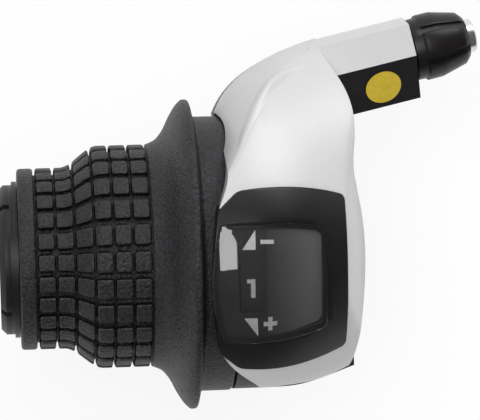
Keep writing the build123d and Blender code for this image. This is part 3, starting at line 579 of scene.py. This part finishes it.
def grip_stations():
    """Points along the outside of the rubber as (x, radius, u); u is None away from the blocks."""
    left = -GRIP_LENGTH
    ring_right = left + END_RING_WIDTH
    block_start = ring_right + BLOCK_GROOVE
    pitch = BLOCK_LENGTH + BLOCK_GROOVE
    flange_start = block_start + BLOCK_COLUMNS * pitch

    end_ring = rounded_path([
        (left, CORE_RADIUS),
        (left, END_RING_RADIUS),
        (ring_right, END_RING_RADIUS),
        (ring_right, grip_radius(block_start) - BLOCK_HEIGHT),
    ], SKIN_ROUNDING)
    stations = [(p.x, p.y, None) for p in end_ring]

    across = spread_steps(BLOCK_LENGTH / 2, EDGE_STEPS, INNER_ALONG)
    for column in range(BLOCK_COLUMNS):
        middle = block_start + column * pitch + BLOCK_LENGTH / 2
        for u in across:
            stations.append((middle + u, grip_radius(middle + u) - BLOCK_HEIGHT, u))

    width = -FLANGE_TIP - flange_start
    height = FLANGE_RADIUS - PALM_RADIUS
    flare = [(flange_start + a * width, PALM_RADIUS + b * height) for a, b in FLANGE_CURVE]
    flare = [(flange_start, PALM_RADIUS)] + flare
    tip = rounded_path([
        flare[-1],
        (-FLANGE_TIP - TIP_START, FLANGE_RADIUS),
        (-FLANGE_TIP + TIP_END, FLANGE_RADIUS),
        (-FLANGE_TIP + FLANGE_BACK, COLLAR_RADIUS),
        (-COLLAR_SETBACK, COLLAR_RADIUS),
        (-COLLAR_SETBACK, CUP_RADIUS),
    ], SKIN_ROUNDING)
    stations.append((flange_start, grip_radius(flange_start) - BLOCK_HEIGHT, None))
    stations += [(p.x, p.y, None) for p in catmull(flare, FLARE_STEPS)[:-1]]
    stations += [(p.x, p.y, None) for p in tip]
    stations += [
        (-CUP_DEPTH, CUP_RADIUS, None),
        (-CUP_DEPTH - CUP_CONE_LENGTH, CORE_RADIUS, None),
    ]
    return stations


def make_grip():
    """Rubber cover with rounded blocks, as one closed turned skin whose radius follows the blocks."""
    row_angle = 360 / BLOCK_ROWS
    block_angle = row_angle - ROW_GROOVE_ANGLE
    reach = math.radians(block_angle / 2) * PALM_RADIUS
    round_row = spread_steps(reach, EDGE_STEPS, INNER_ROUND)
    round_row = [math.degrees(v / PALM_RADIUS) for v in round_row] + [row_angle / 2]
    angles = []
    for row in range(BLOCK_ROWS):
        angles += [(FIRST_ROW_ANGLE + row * row_angle + offset, offset) for offset in round_row]

    stations = grip_stations()
    points, painted_light = [], []
    for x, radius, u in stations:
        full = radius + BLOCK_HEIGHT
        half_v = math.radians(block_angle / 2) * full
        for angle, offset in angles:
            rise = 0.0
            if u is not None:
                rise = block_height(u, math.radians(offset) * full, BLOCK_LENGTH / 2, half_v)
            points.append(on_bar(x, angle, radius + rise))
            # Painted light per point: shade in the grooves and on the block walls, a highlight on the block
            # rims.
            painted_light.append(NO_PAINTED_LIGHT if u is None else block_painted_light(rise / BLOCK_HEIGHT))

    faces = []
    count = len(angles)
    for i in range(len(stations)):
        here = i * count
        there = ((i + 1) % len(stations)) * count
        for k in range(count):
            following = (k + 1) % count
            faces.append((here + k, here + following, there + following, there + k))
    piece = add_smooth("grip_cover", points, faces, rubber, "grip")
    # The painted shade and highlight go onto the mesh as a point attribute.
    layer = piece.data.attributes.new(PAINTED_LIGHT, "FLOAT", "POINT")
    layer.data.foreach_set("value", painted_light)
    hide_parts("grip_rubber")


def make_crest():
    """Moulded crest that runs down the shoulder of the cover and dies out at both ends."""
    cover_surface = surface_of("top_cover")
    line = catmull(CREST_LINE, CREST_STEPS)
    last = len(line) - 1
    shares = [step / CREST_SIDE_STEPS for step in range(-CREST_SIDE_STEPS, CREST_SIDE_STEPS + 1)]
    middle = CREST_SIDE_STEPS
    rows, tops, outwards = [], [], []
    for i, place in enumerate(line):
        ahead = (line[min(i + 1, last)] - line[max(i - 1, 0)]).normalized()
        aside = Vector((-ahead.y, ahead.x))
        fade = smooth_step(CREST_FADE_IN * i / last) * smooth_step(CREST_FADE_OUT * (1 - i / last))
        half = CREST_HALF_WIDTH * (CREST_END_WIDTH + (1 - CREST_END_WIDTH) * fade)
        row, normals = [], []
        for share in shares:
            spot = place + aside * half * share
            above = Vector((spot.x, spot.y, ABOVE_COVER)) * MM
            point, normal = cover_surface.ray_cast(above, DOWN)[:2]
            row.append(point)
            normals.append(normal)
        outward = (normals[0] + normals[-1]).normalized()
        rows.append(row)
        outwards.append(outward)
        tops.append(row[middle] + outward * CREST_HEIGHT * fade * MM)
    tops = evened(tops, CREST_EVENING)
    outwards = evened(outwards, CREST_EVENING)

    # The crown rises from the surface to the evened top line; the root lies inside the wall.
    crown, root = [], []
    for row, top, outward in zip(rows, tops, outwards):
        lift = top - row[middle]
        for share, point in zip(shares, row):
            swell = math.cos(share * math.pi / 2) ** 2
            crown.append(point + lift * swell - outward * CREST_SINK * MM)
            root.append(point - outward * CREST_ROOT * MM)

    wide, long = len(shares), len(line)
    faces = []
    for i in range(long - 1):
        for k in range(wide - 1):
            a, b = i * wide + k, (i + 1) * wide + k
            faces.append((a, a + 1, b + 1, b))
            faces.append(tuple(long * wide + corner for corner in (b, b + 1, a + 1, a)))
    first_row = list(range(wide))
    one_side = [i * wide + wide - 1 for i in range(1, long)]
    last_row = [(long - 1) * wide + k for k in range(wide - 2, -1, -1)]
    other_side = [i * wide for i in range(long - 2, 0, -1)]
    rim = first_row + one_side + last_row + other_side
    for a, b in zip(rim, rim[1:] + rim[:1]):
        faces.append((b, a, long * wide + a, long * wide + b))
    add_smooth("cover_crest", crown + root, faces, silver, "fixed")


def flat_plate(outline, thickness):
    """Flat plate in the X, Y plane with an outline of (u, v) points."""
    count = len(outline)
    points = [(u, v, height) for height in (0, thickness) for u, v in outline]
    faces = [tuple(range(count, 2 * count)), tuple(reversed(range(count)))]
    faces += [(i, (i + 1) % count, count + (i + 1) % count, count + i) for i in range(count)]
    mesh = bpy.data.meshes.new("plate")
    mesh.from_pydata(points, [], faces)
    mesh.update()
    return mesh


def laid(name, mesh, step, place, material, body):
    """Cut a flat mesh into small fields and lay it on a surface; place(u, v, height) gives each point."""
    shape = bmesh.new()
    shape.from_mesh(mesh)
    bmesh.ops.triangulate(shape, faces=shape.faces[:])
    for axis in (Vector((1, 0, 0)), Vector((0, 1, 0))):
        reach = [vertex.co.dot(axis) for vertex in shape.verts]
        for cut in range(math.floor(min(reach) / step), math.ceil(max(reach) / step)):
            geometry = shape.verts[:] + shape.edges[:] + shape.faces[:]
            spot = axis * cut * step
            bmesh.ops.bisect_plane(shape, geom=geometry, dist=CUT_REACH, plane_co=spot, plane_no=axis)
    bmesh.ops.remove_doubles(shape, verts=shape.verts[:], dist=JOIN_REACH)
    bmesh.ops.triangulate(shape, faces=shape.faces[:])
    bmesh.ops.dissolve_degenerate(shape, edges=shape.edges[:], dist=JOIN_REACH)
    for vertex in shape.verts:
        vertex.co = place(*vertex.co)
    shape.to_mesh(mesh)
    shape.free()
    add_piece(name, mesh, material, body)


def make_marks():
    """Printed panel beside the number and the four printed signs, on the plate under the lens."""
    mask_surface = surface_of("display_mask")

    def on_mask(u, v, height):
        start = on_bar(u, v, window_radius(u))
        outward = on_bar(0, v, 1).normalized()
        place = mask_surface.ray_cast(start, -outward)[0]
        return place + outward * (height + PRINT_GAP) * MM

    panel = flat_plate(PANEL, PRINT_DEPTH)
    laid("mask_panel", panel, MASK_FIELD, on_mask, panel_grey, "fixed")
    marks = {
        "mark_up": MARK_UP,
        "mark_minus": MARK_MINUS,
        "mark_down": MARK_DOWN,
        "mark_plus": plus_outline(PLUS_MIDDLE, PLUS_HALF, PLUS_ARM),
    }
    for name, outline in marks.items():
        mesh = flat_plate(outline, 2 * PRINT_DEPTH)
        laid(name, mesh, MASK_FIELD, on_mask, print_white, "fixed")


def make_numbers():
    """Gear numbers on the indicator drum, one gear step apart."""
    for gear, outline in enumerate(DIGITS):
        foot = WINDOW_TILT + DIGIT_FOOT_ANGLE + gear * GEAR_STEP
        left = DIGIT_MIDDLE_X - max(u for u, v in outline) / 2

        def on_drum(u, v, height):
            angle = foot + math.degrees(v / INDICATOR_RADIUS)
            return on_bar(left + u, angle, INDICATOR_RADIUS + PRINT_GAP + height)

        name = "number_" + str(gear + 1)
        mesh = flat_plate(outline, PRINT_DEPTH)
        laid(name, mesh, DIGIT_FIELD, on_drum, print_white, "grip")


def make_dot():
    """Plain round sticker on the slanted black face of the arm."""
    yaw, droop = math.radians(ARM_YAW), math.radians(ARM_DROOP)
    along = Vector((math.cos(yaw) * math.cos(droop), math.sin(yaw) * math.cos(droop), -math.sin(droop)))
    forward = Vector((-math.sin(yaw), math.cos(yaw), 0))
    upward = along.cross(forward)
    top = ARM_END + forward * ARM_FACE_TOP[0] + upward * ARM_FACE_TOP[1]
    foot = ARM_END + forward * ARM_FACE_FOOT[0] + upward * ARM_FACE_FOOT[1]
    rise = (top - foot).normalized()
    normal = along.cross(rise)
    centre = top + along * DOT_ALONG - rise * DOT_DOWN

    def on_face(u, v, height):
        return (centre + along * u + rise * v + normal * (height + DOT_GAP)) * MM

    turns = [2 * math.pi * i / DOT_CORNERS for i in range(DOT_CORNERS)]
    for name, radius, depth, material in (
        ("dot_border", DOT_BORDER_RADIUS, DOT_BORDER_DEPTH, bezel_black),
        ("dot_face", DOT_RADIUS, DOT_DEPTH, sticker_yellow),
    ):
        outline = [(radius * math.cos(turn), radius * math.sin(turn)) for turn in turns]
        laid(name, flat_plate(outline, depth), 2 * radius, on_face, material, "fixed")


# Stage, light and camera

def seen_rays(tree):
    """One for rays that show the background: from the camera, off gloss and through glass."""
    path = tree.nodes.new("ShaderNodeLightPath")
    value = path.outputs["Is Camera Ray"]
    for kind in ("Is Glossy Ray", "Is Transmission Ray"):
        larger = tree.nodes.new("ShaderNodeMath")
        larger.operation = "MAXIMUM"
        tree.links.new(value, larger.inputs[0])
        tree.links.new(path.outputs[kind], larger.inputs[1])
        value = larger.outputs[0]
    return value


def floor_material():
    """Pale floor that shows nearly white but throws no more light than a pale floor does."""
    made = Shader("pale floor", FLOOR_COLOR, 0.9)
    made.vary_color(made.noise(40.0), FLOOR_DARK, FLOOR_LIGHT)
    tree = made.tree
    glow = tree.nodes.new("ShaderNodeEmission")
    glow.inputs["Strength"].default_value = FLOOR_GLOW
    share = tree.nodes.new("ShaderNodeMath")
    share.operation = "MULTIPLY"
    share.inputs[1].default_value = FLOOR_GLOW_SHARE
    tree.links.new(seen_rays(tree), share.inputs[0])
    mix = tree.nodes.new("ShaderNodeMixShader")
    tree.links.new(share.outputs[0], mix.inputs["Fac"])
    tree.links.new(made.shader.outputs[0], mix.inputs[1])
    tree.links.new(glow.outputs[0], mix.inputs[2])
    tree.links.new(mix.outputs[0], tree.nodes["Material Output"].inputs["Surface"])
    return made.material


def make_stage():
    """Square floor a little below the part."""
    level = cad_box[0].z - FLOOR_DROP
    sides = ((-1, -1), (1, -1), (1, 1), (-1, 1))
    corners = [(FLOOR_HALF * a, FLOOR_HALF * b, level) for a, b in sides]
    mesh = bpy.data.meshes.new("floor")
    mesh.from_pydata(corners, [], [(0, 1, 2, 3)])
    mesh.materials.append(floor_material())
    floor = bpy.data.objects.new("floor", mesh)
    bpy.context.scene.collection.objects.link(floor)


def aimed(place, aim, right):
    """Matrix of a lamp or camera at a place that looks at aim, with its right side along right."""
    forward = (Vector(aim) - Vector(place)).normalized()
    right = Vector(right)
    right = (right - forward * right.dot(forward)).normalized()
    turn = Matrix((right, right.cross(forward), -forward)).transposed().to_4x4()
    return Matrix.Translation(place) @ turn


def add_area(name, place, size, power):
    """Soft box that looks at the origin."""
    light = bpy.data.lights.new(name, "AREA")
    light.shape = "RECTANGLE"
    light.size, light.size_y = size
    light.energy = power
    holder = bpy.data.objects.new(name, light)
    holder.matrix_world = aimed(place, (0, 0, 0), (1, 0, 0))
    bpy.context.scene.collection.objects.link(holder)


def make_light():
    """White surround with a dim ceiling, one soft box over the window and one in front."""
    world = bpy.data.worlds.new("studio")
    bpy.context.scene.world = world
    world.use_nodes = True
    tree = world.node_tree
    sky = tree.nodes["Background"]
    sky.inputs["Color"].default_value = (1, 1, 1, 1)

    # What gloss and glass show: white at the sides and below, dim towards the ceiling side.
    height = tree.nodes.new("ShaderNodeVectorMath")
    height.operation = "DOT_PRODUCT"
    height.inputs[1].default_value = CEILING_SIDE
    tree.links.new(tree.nodes.new("ShaderNodeTexCoord").outputs["Generated"], height.inputs[0])
    surround = tree.nodes.new("ShaderNodeMapRange")
    surround.interpolation_type = "SMOOTHSTEP"
    surround.inputs["From Min"].default_value = CEILING_START
    surround.inputs["From Max"].default_value = CEILING_FULL
    surround.inputs["To Min"].default_value = 1.0
    surround.inputs["To Max"].default_value = CEILING
    tree.links.new(height.outputs["Value"], surround.inputs["Value"])

    # Diffuse rays get the ambient level, and the camera sees white.
    level = tree.nodes.new("ShaderNodeMapRange")
    level.inputs["To Min"].default_value = AMBIENT
    tree.links.new(surround.outputs["Result"], level.inputs["To Max"])
    tree.links.new(seen_rays(tree), level.inputs["Value"])
    shown = tree.nodes.new("ShaderNodeMapRange")
    shown.inputs["To Max"].default_value = 1.0
    tree.links.new(level.outputs["Result"], shown.inputs["To Min"])
    path = tree.nodes.new("ShaderNodeLightPath")
    tree.links.new(path.outputs["Is Camera Ray"], shown.inputs["Value"])
    tree.links.new(shown.outputs["Result"], sky.inputs["Strength"])
    for name, (place, size, power) in LAMPS.items():
        add_area(name, place, size, power)


def make_camera():
    """Long lens above the window, as in the photograph."""
    data = bpy.data.cameras.new("camera")
    data.sensor_fit = "HORIZONTAL"
    data.sensor_width = SENSOR_WIDTH
    data.lens = FOCAL_PIXELS / PHOTO_WIDTH * SENSOR_WIDTH
    data.clip_start = CAMERA_NEAR
    camera = bpy.data.objects.new("camera", data)
    camera.matrix_world = aimed(CAMERA_PLACE * MM, CAMERA_AIM * MM, CAMERA_RIGHT)
    bpy.context.scene.collection.objects.link(camera)
    bpy.context.scene.camera = camera


# The crest and the prints are laid on the nodes before their edges are rounded.
make_grip()
make_crest()
make_marks()
make_numbers()
make_dot()
for name, (width_mm, segments) in SOFT_EDGES.items():
    soften(name, width_mm, segments)
make_stage()
make_light()
make_camera()
bpy.context.scene.view_settings.view_transform = "Standard"
